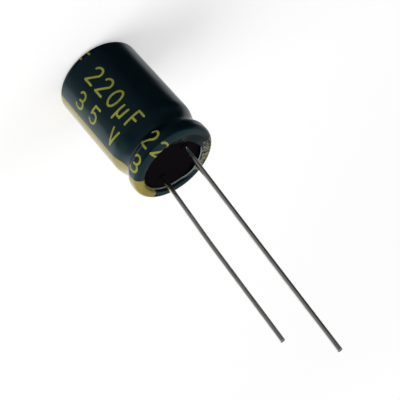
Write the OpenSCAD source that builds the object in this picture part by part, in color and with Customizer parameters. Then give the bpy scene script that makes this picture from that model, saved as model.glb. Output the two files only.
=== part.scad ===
// Radial aluminium electrolytic capacitor, standing on its closed end.
// The origin is the centre of the closed end, +Z runs along the can towards
// the wires, and +X points to the positive wire. All sizes are millimetres.

/* [Can] */
// Outer diameter of the bare can
can_d = 8.0; // [7.8:0.05:8.3]
// Height of the bare can with its rim turned in
can_h = 12.4; // [11.6:0.1:16]
// Wall of the drawn can
can_wall = 0.25; // [0.2:0.01:0.3]
// Floor of the can
can_floor = 0.3; // [0.25:0.01:0.4]
// Outer rounding between wall and closed end
end_round = 0.38; // [0.32:0.01:0.6]
// Length of each scored line of the safety vent
vent_len = 5.0; // [3:0.1:5.4]
// Width of the scored lines
vent_w = 0.25; // [0.15:0.01:0.4]
// Depth of the scored lines
vent_depth = 0.12; // [0.05:0.01:0.2]

/* [Bead and rim] */
// Depth of the rolled bead in the can
bead_depth = 0.45; // [0.41:0.01:0.5]
// Centre of the bead below the top of the rim
bead_drop = 1.925; // [1.85:0.025:2.1]
// Run of the bead on the body side
bead_run_body = 1.8; // [1.5:0.05:2]
// Run of the bead on the rim side
bead_run_rim = 0.98; // [0.9:0.02:1.1]
// How much smaller the radius is above the bead
rim_step = 0.02; // [0:0.01:0.04]
// Rounding of the rim, measured outwards
rim_round_r = 0.525; // [0.5:0.005:0.55]
// Rounding of the rim, measured along the axis
rim_round_z = 0.486; // [0.45:0.002:0.52]
// Outer bend radius where the rim turns in
rim_bend = 0.35; // [0.32:0.01:0.4]
// Angle through which the rim goes on turning after its top
rim_turn = 50; // [30:5:60]

/* [Sleeve] */
// Thickness of the shrunk sleeve
sleeve_t = 0.14; // [0.08:0.01:0.2]
// Room between sleeve and can
sleeve_fit = 0.01; // [0.005:0.001:0.03]
// Depth of the sleeve in the bead, which it bridges a little
sleeve_bead = 0.39; // [0.2:0.01:0.4]
// Diameter of the hole that the sleeve leaves at the closed end
end_hole_d = 5.8; // [5.2:0.1:6.4]
// Diameter of the hole that the sleeve leaves over the bung
lip_hole_d = 5.86; // [5.6:0.02:6]
// How far the hole over the bung sits off the axis
lip_hole_shift = 0.27; // [0:0.01:0.3]
// Direction in which that hole sits off the axis
lip_hole_az = 163; // [0:1:360]
// Slope of the flap that hangs over the bung
flap_slope = 0.45; // [0.3:0.01:0.46]
// Length over which the flap bends down
flap_bend = 0.15; // [0.1:0.01:0.2]

/* [Bung] */
// Height of the rubber bung
bung_h = 2.75; // [2.4:0.05:3]
// Depth of the bung's face below the top of the rim
bung_recess = 0.35; // [0.34:0.01:0.4]
// Room between bung and can
bung_fit = 0.02; // [0.005:0.005:0.04]
// Chamfer on the bung's lower edge
bung_chamfer = 0.15; // [0.05:0.01:0.2]
// Chamfer on the bung's upper edge
bung_shoulder = 0.28; // [0.25:0.01:0.32]
// Room round the wires and tab bosses in the bung
bore_fit = 0.01; // [0.005:0.005:0.03]
// Depth of the dished mouth round each wire
mouth_depth = 0.1; // [0.05:0.01:0.15]

/* [Wires] */
// Distance between the wires
lead_pitch = 3.5; // [3.3:0.05:3.6]
// Diameter of the tinned wires
wire_d = 0.45; // [0.4:0.01:0.6]
// Length of the positive wire from the bung's face
positive_len = 23.0; // [12:0.5:30]
// Length of the negative wire from the bung's face
negative_len = 18.8; // [12:0.2:26]
// Lean of the positive wire from the axis
positive_lean = 3.8; // [0.5:0.1:6]
// Lean of the negative wire near the bung
negative_lean = 4.6; // [3:0.1:6]
// Angle by which the negative wire bends back, further out
negative_back = 1.1; // [0.4:0.1:3]
// Distance of that bend from the bung's face
negative_bend_at = 8.0; // [4:0.5:10]
// Direction in which both wires lean
lean_az = 155; // [0:1:360]
// Radius of the bends in the wires
bend_r = 0.9; // [0.6:0.1:0.9]
// Straight wire above the bung before the first bend
wire_stub = 0.12; // [0.1:0.01:0.3]

/* [Tabs] */
// Diameter of the round boss of a tab
boss_d = 1.1; // [0.9:0.02:1.2]
// Rubber above the weld between boss and wire
weld_cover = 0.6; // [0.4:0.05:0.8]
// Height of the weld cone
weld_h = 0.25; // [0.15:0.01:0.3]
// Width of the pressed blade
blade_w = 1.2; // [1:0.05:1.4]
// Thickness of the pressed blade
blade_t = 0.2; // [0.15:0.01:0.25]
// Height of the shoulder between blade and boss
shoulder_h = 0.35; // [0.2:0.05:0.4]
// Distance from a blade's lower end to the lower edge of the foil
blade_end = 0.8; // [0.2:0.1:3]

/* [Winding] */
// Thickness of the etched anode foil
anode_t = 0.1; // [0.08:0.005:0.12]
// Thickness of the cathode foil
cathode_t = 0.04; // [0.03:0.005:0.06]
// Thickness of each paper
paper_t = 0.04; // [0.03:0.005:0.06]
// Room between neighbouring layers
layer_gap = 0.005; // [0.003:0.001:0.01]
// Diameter of the hole that the winding pin leaves
core_d = 1.2; // [1:0.1:1.6]
// How far the papers stand past the foils at each end
paper_margin = 0.35; // [0.2:0.05:0.6]
// Room between the winding and the can's wall
winding_fit = 0.08; // [0.03:0.01:0.2]
// Room between the winding and the can's floor
floor_fit = 0.15; // [0.05:0.05:0.4]
// Room between the winding and the bung
bung_room = 0.65; // [0.5:0.05:0.9]
// Thickness of the closing tape
tape_t = 0.05; // [0.03:0.01:0.06]
// Height of the closing tape
tape_h = 5.0; // [3:0.5:6]
// Angle by which the tape laps over its own start
tape_lap = 30; // [15:15:60]

/* [Hidden] */
$fn = 96;
// Heights, counted from the closed end
skin = sleeve_t + sleeve_fit;
body_r = can_d / 2 + skin;
body_h = can_h + 2 * skin;
bead_z = body_h - skin - bead_drop;
bead_low = bead_z - bead_run_body;
bead_high = bead_z + bead_run_rim;
rim_r = body_r - rim_step;
lip_r = rim_round_r + skin;
lip_z = rim_round_z + skin;
apex_r = rim_r - lip_r;
end_r = end_round + skin;
floor_z = skin + can_floor;
bung_top = body_h - skin - bung_recess;
bung_low = bung_top - bung_h;
weld_z = bung_top - weld_cover;
wire_r = wire_d / 2;
boss_r = boss_d / 2;
// Insets of the can's and the bung's surfaces from the sleeve's outside
can_in = skin + can_wall;
bung_in = can_in + bung_fit;
// Steps of the curves
bead_steps = 10;
arc_step = 15;
seat_overlap = 0.02;

// Radius of the skin at a height, moved in by an inset, with a bead of a depth
function bead_wave(x) = 0.5 + 0.5 * cos(180 * x);
function skin_r(z, inset, depth) =
    z <= bead_low ? body_r - inset
    : z < bead_z ? body_r - inset - depth * bead_wave((bead_z - z) / bead_run_body)
    : z < bead_high ? rim_r - inset - (depth - rim_step) * bead_wave((z - bead_z) / bead_run_rim)
    : rim_r - inset;

// Outline of the beaded wall between two heights
function wall_curve(from, to, inset, depth) = concat(
    [[skin_r(from, inset, depth), from]],
    [for (i = [0 : bead_steps])
        let (z = bead_low + (bead_z - bead_low) * i / bead_steps)
        if (z > from && z < to) [skin_r(z, inset, depth), z]],
    [for (i = [1 : bead_steps])
        let (z = bead_z + (bead_high - bead_z) * i / bead_steps)
        if (z > from && z < to) [skin_r(z, inset, depth), z]],
    [[skin_r(to, inset, depth), to]]
);

// Rounding at the closed end, from the flat end to the wall
function end_curve(inset, flat_z, round_r) = [for (a = [0 : arc_step : 90])
    [body_r - inset - round_r + round_r * sin(a), flat_z + round_r - round_r * cos(a)]];

// Rounding of the rim, from the wall to its top
function rim_curve(inset) = [for (a = [0 : arc_step / 2 : 90])
    [apex_r + (lip_r - inset) * cos(a), body_h - lip_z + (lip_z - inset) * sin(a)]];

// Drop of the sleeve's flap at a distance in from the top of the rim
function flap_drop(x) = flap_slope * (sqrt(x * x + flap_bend * flap_bend) - flap_bend);
function flap_grade(x) = flap_slope * x / sqrt(x * x + flap_bend * flap_bend);
function flap_point(x, t) =
    let (m = flap_grade(x), n = t / sqrt(1 + m * m))
    [apex_r - x + m * n, body_h - flap_drop(x) - n];

function reversed(list) = [for (i = [len(list) - 1 : -1 : 0]) list[i]];

// The flap is made long enough for the hole's near side, and the hole cuts it
flap_len = apex_r - lip_hole_d / 2 + lip_hole_shift + 0.05;
flap_steps = 8;

module sleeve() {
    outside = concat(
        [[end_hole_d / 2, 0]],
        end_curve(0, 0, end_r),
        wall_curve(end_r + 0.01, body_h - lip_z - 0.01, 0, sleeve_bead),
        rim_curve(0),
        [for (i = [1 : flap_steps]) flap_point(flap_len * i / flap_steps, 0)]
    );
    inside = concat(
        [[end_hole_d / 2, sleeve_t]],
        end_curve(sleeve_t, sleeve_t, end_r - sleeve_t),
        wall_curve(end_r + 0.01, body_h - lip_z - 0.01, sleeve_t, sleeve_bead),
        rim_curve(sleeve_t),
        [for (i = [1 : flap_steps]) flap_point(flap_len * i / flap_steps, sleeve_t)]
    );
    color([0.05, 0.11, 0.11])
        difference() {
            rotate_extrude() polygon(concat(outside, reversed(inside)));
            rotate([0, 0, lip_hole_az])
                translate([lip_hole_shift, 0, body_h - lip_z])
                    cylinder(d = lip_hole_d, h = 2 * lip_z);
        }
}

// One scored line of the vent
module vent_line(angle) {
    rotate([0, 0, angle])
        translate([-vent_len / 2, -vent_w / 2, skin - seat_overlap])
            cube([vent_len, vent_w, vent_depth + seat_overlap]);
}

module can() {
    round_in = max(end_r - can_in, 0.1);
    outside = concat(
        [[0, skin]],
        end_curve(skin, skin, end_r - skin),
        wall_curve(end_r + 0.01, body_h - lip_z - 0.01, skin, bead_depth),
        rim_curve(skin),
        [for (a = [10 : 10 : rim_turn])
            [apex_r - rim_bend * sin(a), body_h - skin - rim_bend * (1 - cos(a))]]
    );
    inside = concat(
        [[0, floor_z]],
        end_curve(can_in, floor_z, round_in),
        wall_curve(floor_z + round_in + 0.01, body_h - lip_z - 0.01, can_in, bead_depth),
        rim_curve(can_in),
        [for (a = [10 : 10 : rim_turn])
            [apex_r - (rim_bend - can_wall) * sin(a),
             body_h - skin - rim_bend + (rim_bend - can_wall) * cos(a)]]
    );
    color([0.8, 0.81, 0.83])
        difference() {
            rotate_extrude() polygon(concat(outside, reversed(inside)));
            vent_line(45);
            vent_line(-45);
        }
}

// Bore of the bung for a tab's boss, its weld and the wire
module bung_bore() {
    bore_r = wire_r + bore_fit;
    hole_r = boss_r + bore_fit;
    rotate_extrude()
        polygon([
            [0, bung_low - 1], [hole_r, bung_low - 1],
            [hole_r, weld_z - weld_h + bore_fit], [bore_r, weld_z + bore_fit],
            [bore_r, bung_top - mouth_depth], [bore_r + mouth_depth, bung_top],
            [bore_r + mouth_depth, bung_top + 1], [0, bung_top + 1]
        ]);
}

module bung() {
    side_r = skin_r(bung_top - bung_shoulder, bung_in, bead_depth);
    color([0.09, 0.07, 0.09])
        difference() {
            rotate_extrude()
                polygon(concat(
                    [[0, bung_low]],
                    [[skin_r(bung_low, bung_in, bead_depth) - bung_chamfer, bung_low]],
                    wall_curve(bung_low + bung_chamfer, bung_top - bung_shoulder,
                               bung_in, bead_depth),
                    [[side_r - bung_shoulder, bung_top], [0, bung_top]]
                ));
            for (side = [-1, 1])
                translate([side * lead_pitch / 2, 0, 0]) bung_bore();
        }
}

// Bend of a wire by an angle, starting upright at the origin and turning to +X
module wire_bend(angle) {
    translate([bend_r, 0, 0])
        rotate([90, 0, 180])
            rotate_extrude(angle = angle)
                translate([bend_r, 0]) circle(r = wire_r);
}

// Straight wire with, at its end, a bend and what follows it
module straight_wire(length) {
    cylinder(r = wire_r, h = length);
    translate([0, 0, length]) children();
}

// What follows a bend stands on the bend's far end
module after_bend(angle) {
    wire_bend(angle);
    translate([bend_r * (1 - cos(angle)), 0, bend_r * sin(angle)])
        rotate([0, angle, 0]) children();
}

module positive_wire() {
    color([0.74, 0.74, 0.76])
        translate([lead_pitch / 2, 0, weld_z])
            rotate([0, 0, lean_az])
                straight_wire(weld_cover + wire_stub)
                    after_bend(positive_lean)
                        straight_wire(positive_len - wire_stub);
}

// The slight bend back turns the other way round, so the wire is turned half round for it
module negative_wire() {
    near_len = negative_bend_at - wire_stub;
    color([0.74, 0.74, 0.76])
        translate([-lead_pitch / 2, 0, weld_z])
            rotate([0, 0, lean_az])
                straight_wire(weld_cover + wire_stub)
                    after_bend(negative_lean)
                        straight_wire(near_len)
                            rotate([0, 0, 180])
                                after_bend(negative_back)
                                    straight_wire(negative_len - negative_bend_at);
}

// Layers of one turn from the inside out: paper, anode foil, paper, cathode foil
PAPER_IN = 0;
ANODE = 1;
PAPER_OUT = 2;
CATHODE = 3;
layer_t = [paper_t, anode_t, paper_t, cathode_t];
layer_at = [
    0,
    paper_t + layer_gap,
    paper_t + anode_t + 2 * layer_gap,
    2 * paper_t + anode_t + 3 * layer_gap
];
turn_pitch = 2 * paper_t + anode_t + cathode_t + 4 * layer_gap;
turn_step = 15;

// The blades press the turns outside them outwards. Each tab has the direction
// of its wire, the layer whose inner side it lies on, and the turn nearest to
// the wire.
tab_az = [0, 180];
tab_layer = [ANODE, CATHODE];
function tab_turn(i) = round((lead_pitch / 2 - blade_t / 2 - core_d / 2
    - layer_at[tab_layer[i]]) / turn_pitch - tab_az[i] / 360);
function tab_inside(i) = core_d / 2 + layer_at[tab_layer[i]]
    + turn_pitch * (tab_turn(i) + tab_az[i] / 360);
function blade_x(i) = tab_inside(i) + blade_t / 2;
function blade_corner(i) = sqrt(pow(tab_inside(i) + blade_t, 2) + pow(blade_w / 2, 2));
function blade_half_angle(i) = atan(blade_w / 2 / tab_inside(i));
function swell(i) = blade_corner(i) - tab_inside(i) + 2 * layer_gap
    + turn_pitch * blade_half_angle(i) / 360 + blade_corner(i) * (1 - cos(turn_step / 2));

// Share of the swelling at an angle from the middle of a blade
swell_run = 50;
function swell_share(d, flat) = d < flat ? 1
    : d < flat + swell_run ? 0.5 + 0.5 * cos(180 * (d - flat) / swell_run) : 0;
function lift(a, layer, i) =
    let (
        whole = floor((a - tab_az[i] + 180) / 360),
        d = abs(a - tab_az[i] - 360 * whole),
        first = layer >= tab_layer[i] ? tab_turn(i) : tab_turn(i) + 1
    )
    whole < first ? 0 : swell(i) * swell_share(d, blade_half_angle(i) + turn_step / 2);
function layer_r(a, layer, out) = core_d / 2 + turn_pitch * a / 360 + layer_at[layer]
    + out * layer_t[layer] + lift(a, layer, 0) + lift(a, layer, 1);
function layer_points(from, to, layer, out) = [for (a = [from : turn_step : to])
    let (r = layer_r(a, layer, out)) [r * cos(a), r * sin(a)]];

// Whole turns that fit between the core and the can, with the last one swollen by a blade
// and closed by the tape
winding_r = body_r - can_in - winding_fit;
turns = floor((winding_r - core_d / 2 - max(swell(0), swell(1)) - tape_t - 2 * layer_gap)
    / turn_pitch) - 1;
paper_turns = [0, turns];
anode_turns = [1, turns - 1];
cathode_turns = [0.75, turns - 0.5];
paper_z = floor_z + floor_fit;
paper_h = bung_low - bung_room - paper_z;
foil_z = paper_z + paper_margin;
foil_h = paper_h - 2 * paper_margin;

// One wound strip, as a true spiral
module wound_strip(layer, span, low, height) {
    from = 360 * span[0];
    to = 360 * span[1];
    translate([0, 0, low])
        linear_extrude(height = height)
            polygon(concat(
                layer_points(from, to, layer, 1),
                reversed(layer_points(from, to, layer, 0))
            ));
}

module anode_foil() {
    color([0.55, 0.56, 0.57]) wound_strip(ANODE, anode_turns, foil_z, foil_h);
}

module cathode_foil() {
    color([0.78, 0.79, 0.8]) wound_strip(CATHODE, cathode_turns, foil_z, foil_h);
}

module inner_paper() {
    color([0.87, 0.82, 0.7]) wound_strip(PAPER_IN, paper_turns, paper_z, paper_h);
}

module outer_paper() {
    color([0.83, 0.78, 0.66]) wound_strip(PAPER_OUT, paper_turns, paper_z, paper_h);
}

// The tape lies on the last turn, steps down at the papers' end and laps over its own start
paper_end = 360 * turns;
function tape_r(a) = a <= paper_end ? layer_r(a, CATHODE, 1) + layer_gap
    : tape_r(a - 360) + tape_t + layer_gap;
function tape_points(out) = [for (a = [paper_end - 360 : turn_step : paper_end + tape_lap])
    let (r = tape_r(a) + out) [r * cos(a), r * sin(a)]];

module closing_tape() {
    color([0.88, 0.75, 0.42])
        translate([0, 0, paper_z + (paper_h - tape_h) / 2])
            linear_extrude(height = tape_h)
                polygon(concat(tape_points(tape_t), reversed(tape_points(0))));
}

// Tab: a blade on the foil, a flattened shoulder, the round boss and the weld cone
module tab(i) {
    blade_z = foil_z + blade_end;
    boss_z = bung_low - bung_room / 2 + shoulder_h / 2;
    blade_top = boss_z - shoulder_h;
    shift = blade_x(i) - lead_pitch / 2;
    rotate([0, 0, tab_az[i]])
        translate([lead_pitch / 2, 0, 0]) {
            translate([shift - blade_t / 2, -blade_w / 2, blade_z])
                cube([blade_t, blade_w, blade_top - blade_z]);
            intersection() {
                translate([0, blade_w / 2, 0])
                    rotate([90, 0, 0])
                        linear_extrude(height = blade_w)
                            polygon([
                                [shift - blade_t / 2, blade_top],
                                [shift + blade_t / 2, blade_top],
                                [boss_r, boss_z],
                                [-boss_r, boss_z]
                            ]);
                translate([0, 0, blade_top])
                    cylinder(r1 = sqrt(pow(blade_w / 2, 2) + pow(abs(shift) + blade_t / 2, 2)),
                             r2 = boss_r, h = shoulder_h);
            }
            translate([0, 0, boss_z])
                cylinder(r = boss_r, h = weld_z - weld_h - boss_z);
            translate([0, 0, weld_z - weld_h])
                cylinder(r1 = boss_r, r2 = wire_r, h = weld_h);
        }
}

module positive_tab() {
    color([0.7, 0.71, 0.73]) tab(0);
}

module negative_tab() {
    color([0.7, 0.71, 0.73]) tab(1);
}

sleeve();
can();
bung();
positive_wire();
negative_wire();
positive_tab();
negative_tab();
anode_foil();
cathode_foil();
inner_paper();
outer_paper();
closing_tape();
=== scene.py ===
"""Looks of a radial electrolytic capacitor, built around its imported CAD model.

Sizes are millimetres, as on a maker's drawing, and become metres when a mesh
is made. Heights are counted from the closed end, along the can towards the
wires. Azimuths are degrees round the can, from the positive wire's side.
"""

import logging
import math
import random
from bisect import bisect_left
from dataclasses import dataclass, field
from enum import Enum
from itertools import accumulate
from typing import Callable, Iterable, Sequence

import bpy
from mathutils import Matrix, Vector
from mathutils.geometry import delaunay_2d_cdt


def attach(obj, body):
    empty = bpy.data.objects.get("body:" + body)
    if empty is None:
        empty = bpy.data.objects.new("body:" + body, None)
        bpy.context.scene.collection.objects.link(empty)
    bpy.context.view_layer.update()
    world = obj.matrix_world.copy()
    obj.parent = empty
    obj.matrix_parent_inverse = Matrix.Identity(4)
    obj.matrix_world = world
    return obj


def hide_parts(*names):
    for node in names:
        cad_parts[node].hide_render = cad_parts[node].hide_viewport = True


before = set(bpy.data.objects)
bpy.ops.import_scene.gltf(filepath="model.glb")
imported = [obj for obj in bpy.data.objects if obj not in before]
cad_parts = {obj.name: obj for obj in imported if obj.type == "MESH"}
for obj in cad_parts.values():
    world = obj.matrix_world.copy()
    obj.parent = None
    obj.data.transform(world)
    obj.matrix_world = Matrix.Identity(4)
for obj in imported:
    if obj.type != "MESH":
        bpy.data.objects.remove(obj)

LOG = logging.getLogger("capacitor")
# Metres in a millimetre, and the gap in millimetres under which two flat points are one.
MM = 0.001
SAME_SPOT = 1e-7

Colour = tuple[float, float, float]
Flat = tuple[float, float]
Place = tuple[float, float, float]


class Pole(Enum):
    """The two poles, with the side of the can's middle on which each wire stands."""

    POSITIVE = 1
    NEGATIVE = -1


class Facing(Enum):
    """How the edges between a mesh's faces look."""

    ROUNDED = 60.0
    EDGED = 30.0


# Curves


def arc(middle: Flat, radii: Flat, start: float, stop: float, steps: int = 18) -> list[Flat]:
    """Draws part of an ellipse.

    Args:
        middle: Its middle.
        radii: Its half width and half height.
        start: Angle at which it starts, in degrees.
        stop: Angle at which it ends, in degrees.
        steps: Number of steps.

    Returns:
        Its points.
    """
    angles = [math.radians(start + (stop - start) * i / steps) for i in range(steps + 1)]
    return [(middle[0] + radii[0] * math.cos(a), middle[1] + radii[1] * math.sin(a)) for a in angles]


def flat_ring(radius: float, x: float, steps: int) -> list[Flat]:
    """Draws a flat ring.

    Args:
        radius: Its radius.
        x: Where its middle stands.
        steps: Number of points.

    Returns:
        Its points.
    """
    return arc((x, 0.0), (radius, radius), 0, 360, steps)[:-1]


# Outline of the can and its sleeve


@dataclass(frozen=True)
class SkinOutline:
    """Outline of the sleeved can, from which every layer is set in.

    Radii and heights are those of the part's source.
    """

    body_r: float = 4.15
    body_h: float = 12.7
    end_r: float = 0.53
    bead_z: float = 10.625
    bead_run_body: float = 1.8
    bead_run_rim: float = 0.98
    rim_step: float = 0.02
    lip_r: float = 0.675
    lip_z: float = 0.636
    end_hole_r: float = 2.9
    tuck_bend: float = 0.25
    foot_bend: float = 0.06
    foot_len: float = 0.015
    foot_top: float = 12.35
    tuck_r: float = 3.25
    tuck_shift: float = 0.35
    tuck_az: float = 140.0
    tongue_r: float = 2.44
    tongue_az: float = 4.0
    tongue_round: float = 5.0
    flap_angle: float = 18.0
    free_at_r: float = 3.02
    tucked_at_r: float = 3.22
    corner_steps: int = 10
    bead_steps: int = 22
    rim_steps: int = 20
    fold_steps: int = 10
    plain_steps: int = 6
    join: float = 0.01

    @property
    def straight(self) -> Flat:
        """Heights between which the wall is drawn, just clear of the roundings."""
        return self.end_r + self.join, self.body_h - self.lip_z - self.join

    @property
    def bead_low(self) -> float:
        """Height at which the bead begins."""
        return self.bead_z - self.bead_run_body

    @property
    def bead_high(self) -> float:
        """Height at which the bead ends."""
        return self.bead_z + self.bead_run_rim

    @property
    def rim_r(self) -> float:
        """Radius above the bead."""
        return self.body_r - self.rim_step

    @property
    def apex_r(self) -> float:
        """Radius at which the rim is highest."""
        return self.rim_r - self.lip_r

    def wall_r(self, z: float, inset: float, depth: float) -> float:
        """Gives the radius of the beaded wall.

        Args:
            z: Height above the closed end.
            inset: Depth under the sleeve's outside.
            depth: Depth of the bead in that layer.

        Returns:
            The radius at that height.
        """
        if z <= self.bead_low:
            return self.body_r - inset
        if z < self.bead_z:
            share = (self.bead_z - z) / self.bead_run_body
            return self.body_r - inset - depth * (0.5 + 0.5 * math.cos(math.pi * share))
        if z < self.bead_high:
            share = (z - self.bead_z) / self.bead_run_rim
            return self.rim_r - inset - (depth - self.rim_step) * (0.5 + 0.5 * math.cos(math.pi * share))
        return self.rim_r - inset

    def wall(self, low: float, high: float, inset: float, depth: float) -> list[Flat]:
        """Draws the beaded wall between two heights.

        Args:
            low: Height at which it starts.
            high: Height at which it ends.
            inset: Depth under the sleeve's outside.
            depth: Depth of the bead in that layer.

        Returns:
            Radius and height of each point, from low to high.
        """
        steps, plain_steps = self.bead_steps, self.plain_steps
        body = [self.bead_low + self.bead_run_body * i / steps for i in range(steps + 1)]
        rim = [self.bead_z + self.bead_run_rim * i / steps for i in range(1, steps + 1)]
        plain = [low + (self.bead_low - low) * i / plain_steps for i in range(1, plain_steps)]
        heights = [low] + [z for z in plain + body + rim if low < z < high] + [high]
        return [(self.wall_r(z, inset, depth), z) for z in heights]

    def corner(self, inset: float, flat_z: float, round_r: float) -> list[Flat]:
        """Draws the rounding at the closed end.

        Args:
            inset: Depth under the sleeve's outside.
            flat_z: Height of the layer's flat end.
            round_r: Radius of the rounding.

        Returns:
            Radius and height of each point, from the flat end to the wall.
        """
        middle = (self.body_r - inset - round_r, flat_z + round_r)
        return arc(middle, (round_r, round_r), -90, 0, self.corner_steps)

    def rim(self, inset: float) -> list[Flat]:
        """Draws the rounding of the rim, from the wall to its top.

        Args:
            inset: Depth under the sleeve's outside.

        Returns:
            Radius and height of each point.
        """
        middle = (self.apex_r, self.body_h - self.lip_z)
        return arc(middle, (self.lip_r - inset, self.lip_z - inset), 0, 90, self.rim_steps)

    def form_r(self, azimuth: float) -> float:
        """Gives how far from the axis the film would end, if it hung free all round.

        Args:
            azimuth: Direction round the can, in degrees.

        Returns:
            The distance.
        """
        reaches = []
        for middle, middle_az, radius in (
            (self.tuck_shift, self.tuck_az, self.tuck_r),
            (self.tongue_r - self.tongue_round, self.tongue_az, self.tongue_round),
        ):
            turn = math.radians(azimuth - middle_az)
            side = middle * math.sin(turn)
            reaches.append(middle * math.cos(turn) + math.sqrt(radius**2 - side**2))
        return min(reaches)

    def bend(self, inset: float, to: float) -> list[Flat]:
        """Draws the film's bend inwards from the top of the rim.

        Args:
            inset: Depth under the film's outside.
            to: Angle through which it bends, in degrees.

        Returns:
            Radius and height of each point after the top.
        """
        round_r = self.tuck_bend - inset
        middle = (self.apex_r, self.body_h - self.tuck_bend)
        return arc(middle, (round_r, round_r), 90, 90 + to, self.fold_steps)[1:]

    def tucked(self, inset: float) -> list[Flat]:
        """Draws the film where it is tucked down inside the rim, up to its cut edge on the bung.

        Args:
            inset: Depth under the film's outside.

        Returns:
            Radius and height of each point after the top of the rim.
        """
        middle = (self.apex_r - self.tuck_bend - self.foot_bend, self.foot_top + self.foot_bend)
        round_r = self.foot_bend + inset
        # The foot and its end have as many points as the film's free stretch has.
        foot = arc(middle, (round_r, round_r), 0, -90, self.fold_steps - 2)
        return [*self.bend(inset, 90), *foot, (foot[-1][0] - self.foot_len, foot[-1][1])]

    def hanging(self, inset: float, edge_r: float) -> list[Flat]:
        """Draws the film where it hangs free over the bung.

        Args:
            inset: Depth under the film's outside.
            edge_r: Distance from the axis to its cut edge.

        Returns:
            Radius and height of each point after the top of the rim.
        """
        bend = self.bend(inset, self.flap_angle)
        r, z = bend[-1]
        run = r - edge_r
        fall = run * math.tan(math.radians(self.flap_angle))
        return bend + [
            (r - run * i / self.fold_steps, z - fall * i / self.fold_steps)
            for i in range(1, self.fold_steps + 1)
        ]

    def fold(self, azimuth: float, inset: float) -> list[Flat]:
        """Draws the film from the top of the rim to its edge over the bung.

        Args:
            azimuth: Direction round the can, in degrees.
            inset: Depth under the film's outside.

        Returns:
            Radius and height of each point, as many at each azimuth.
        """
        edge_r = self.form_r(azimuth)
        share = (edge_r - self.free_at_r) / (self.tucked_at_r - self.free_at_r)
        share = min(max(share, 0.0), 1.0)
        share = share * share * (3 - 2 * share)
        free = self.hanging(inset, min(edge_r, self.tucked_at_r))
        return [
            (r0 + share * (r1 - r0), z0 + share * (z1 - z0))
            for (r0, z0), (r1, z1) in zip(free, self.tucked(inset))
        ]


# Meshes


@dataclass
class MeshDraft:
    """Points and faces of one piece, in millimetres, before it becomes a mesh."""

    points: list[Place] = field(default_factory=list)
    faces: list[tuple[int, ...]] = field(default_factory=list)
    finish_of: list[int] = field(default_factory=list)

    def add_points(self, places: Iterable[Place]) -> list[int]:
        """Adds points and gives their numbers."""
        start = len(self.points)
        self.points.extend(places)
        return list(range(start, len(self.points)))

    def add_face(self, corners: Sequence[int], finish: int = 0) -> None:
        """Adds one face with the number of its finish."""
        self.faces.append(tuple(corners))
        self.finish_of.append(finish)

    def bridge(self, low: Sequence[int], high: Sequence[int], closed: bool = True) -> None:
        """Joins two rows of points by four-cornered faces.

        Args:
            low: Numbers of the first row's points.
            high: Numbers of the second row's points.
            closed: Whether the rows are rings.
        """
        count = len(low)
        for i in range(count if closed else count - 1):
            j = (i + 1) % count
            self.add_face((low[i], low[j], high[j], high[i]))

    def lathe(self, outline: Sequence[Flat], steps: int, x: float = 0.0) -> None:
        """Turns an outline round an upright axis.

        Args:
            outline: Radius and height of each point.
            steps: Number of points in each ring.
            x: Where the axis stands.
        """
        rings = [
            self.add_points([(*spot, z) for spot in flat_ring(r, x, steps)])
            for r, z in outline
        ]
        for low, high in zip(rings, rings[1:]):
            self.bridge(low, high)

    def plate(self, rings: Sequence[Sequence[Flat]], z: float, upwards: bool) -> None:
        """Fills a flat plate inside its first ring and outside the other rings.

        Args:
            rings: The outer ring and then the holes, as flat points.
            z: Height of the plate.
            upwards: Whether it faces up.
        """
        spots: list[Vector] = []
        edges: list[tuple[int, int]] = []
        for ring in rings:
            start = len(spots)
            spots.extend(Vector(spot) for spot in ring)
            edges.extend((start + i, start + (i + 1) % len(ring)) for i in range(len(ring)))
        made, _, faces, *_ = delaunay_2d_cdt(spots, edges, [], 0, SAME_SPOT)
        numbers = self.add_points((spot.x, spot.y, z) for spot in made)
        for face in faces:
            middle = sum((made[i] for i in face), Vector((0.0, 0.0))) / len(face)
            if any(self._inside(middle, hole) for hole in rings[1:]):
                continue
            corners = [numbers[i] for i in face]
            self.add_face(corners if upwards else corners[::-1])

    @staticmethod
    def _inside(spot: Vector, ring: Sequence[Flat]) -> bool:
        """Tells whether a flat point lies inside a ring."""
        inside = False
        for (x0, y0), (x1, y1) in zip(ring, (*ring[1:], ring[0])):
            if (y0 > spot.y) != (y1 > spot.y) and spot.x < x0 + (x1 - x0) * (spot.y - y0) / (y1 - y0):
                inside = not inside
        return inside

    def build(self, name: str, finishes: Sequence["Finish"], facing: Facing) -> bpy.types.Object:
        """Makes the piece, which rides on the object's only body.

        Args:
            name: The piece's name.
            finishes: Its finishes, in the order of the faces' numbers.
            facing: How the edges between its faces look.

        Returns:
            The piece.
        """
        mesh = bpy.data.meshes.new(name)
        mesh.from_pydata([tuple(MM * v for v in point) for point in self.points], [], self.faces)
        for finish in finishes:
            mesh.materials.append(finish.material())
        mesh.polygons.foreach_set("material_index", self.finish_of)
        mesh.shade_smooth()
        mesh.set_sharp_from_angle(angle=math.radians(facing.value))
        mesh.update()
        piece = bpy.data.objects.new(name, mesh)
        bpy.context.scene.collection.objects.link(piece)
        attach(piece, "root")
        LOG.info("%s: %d faces", name, len(self.faces))
        return piece


# Shader nodes


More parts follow.
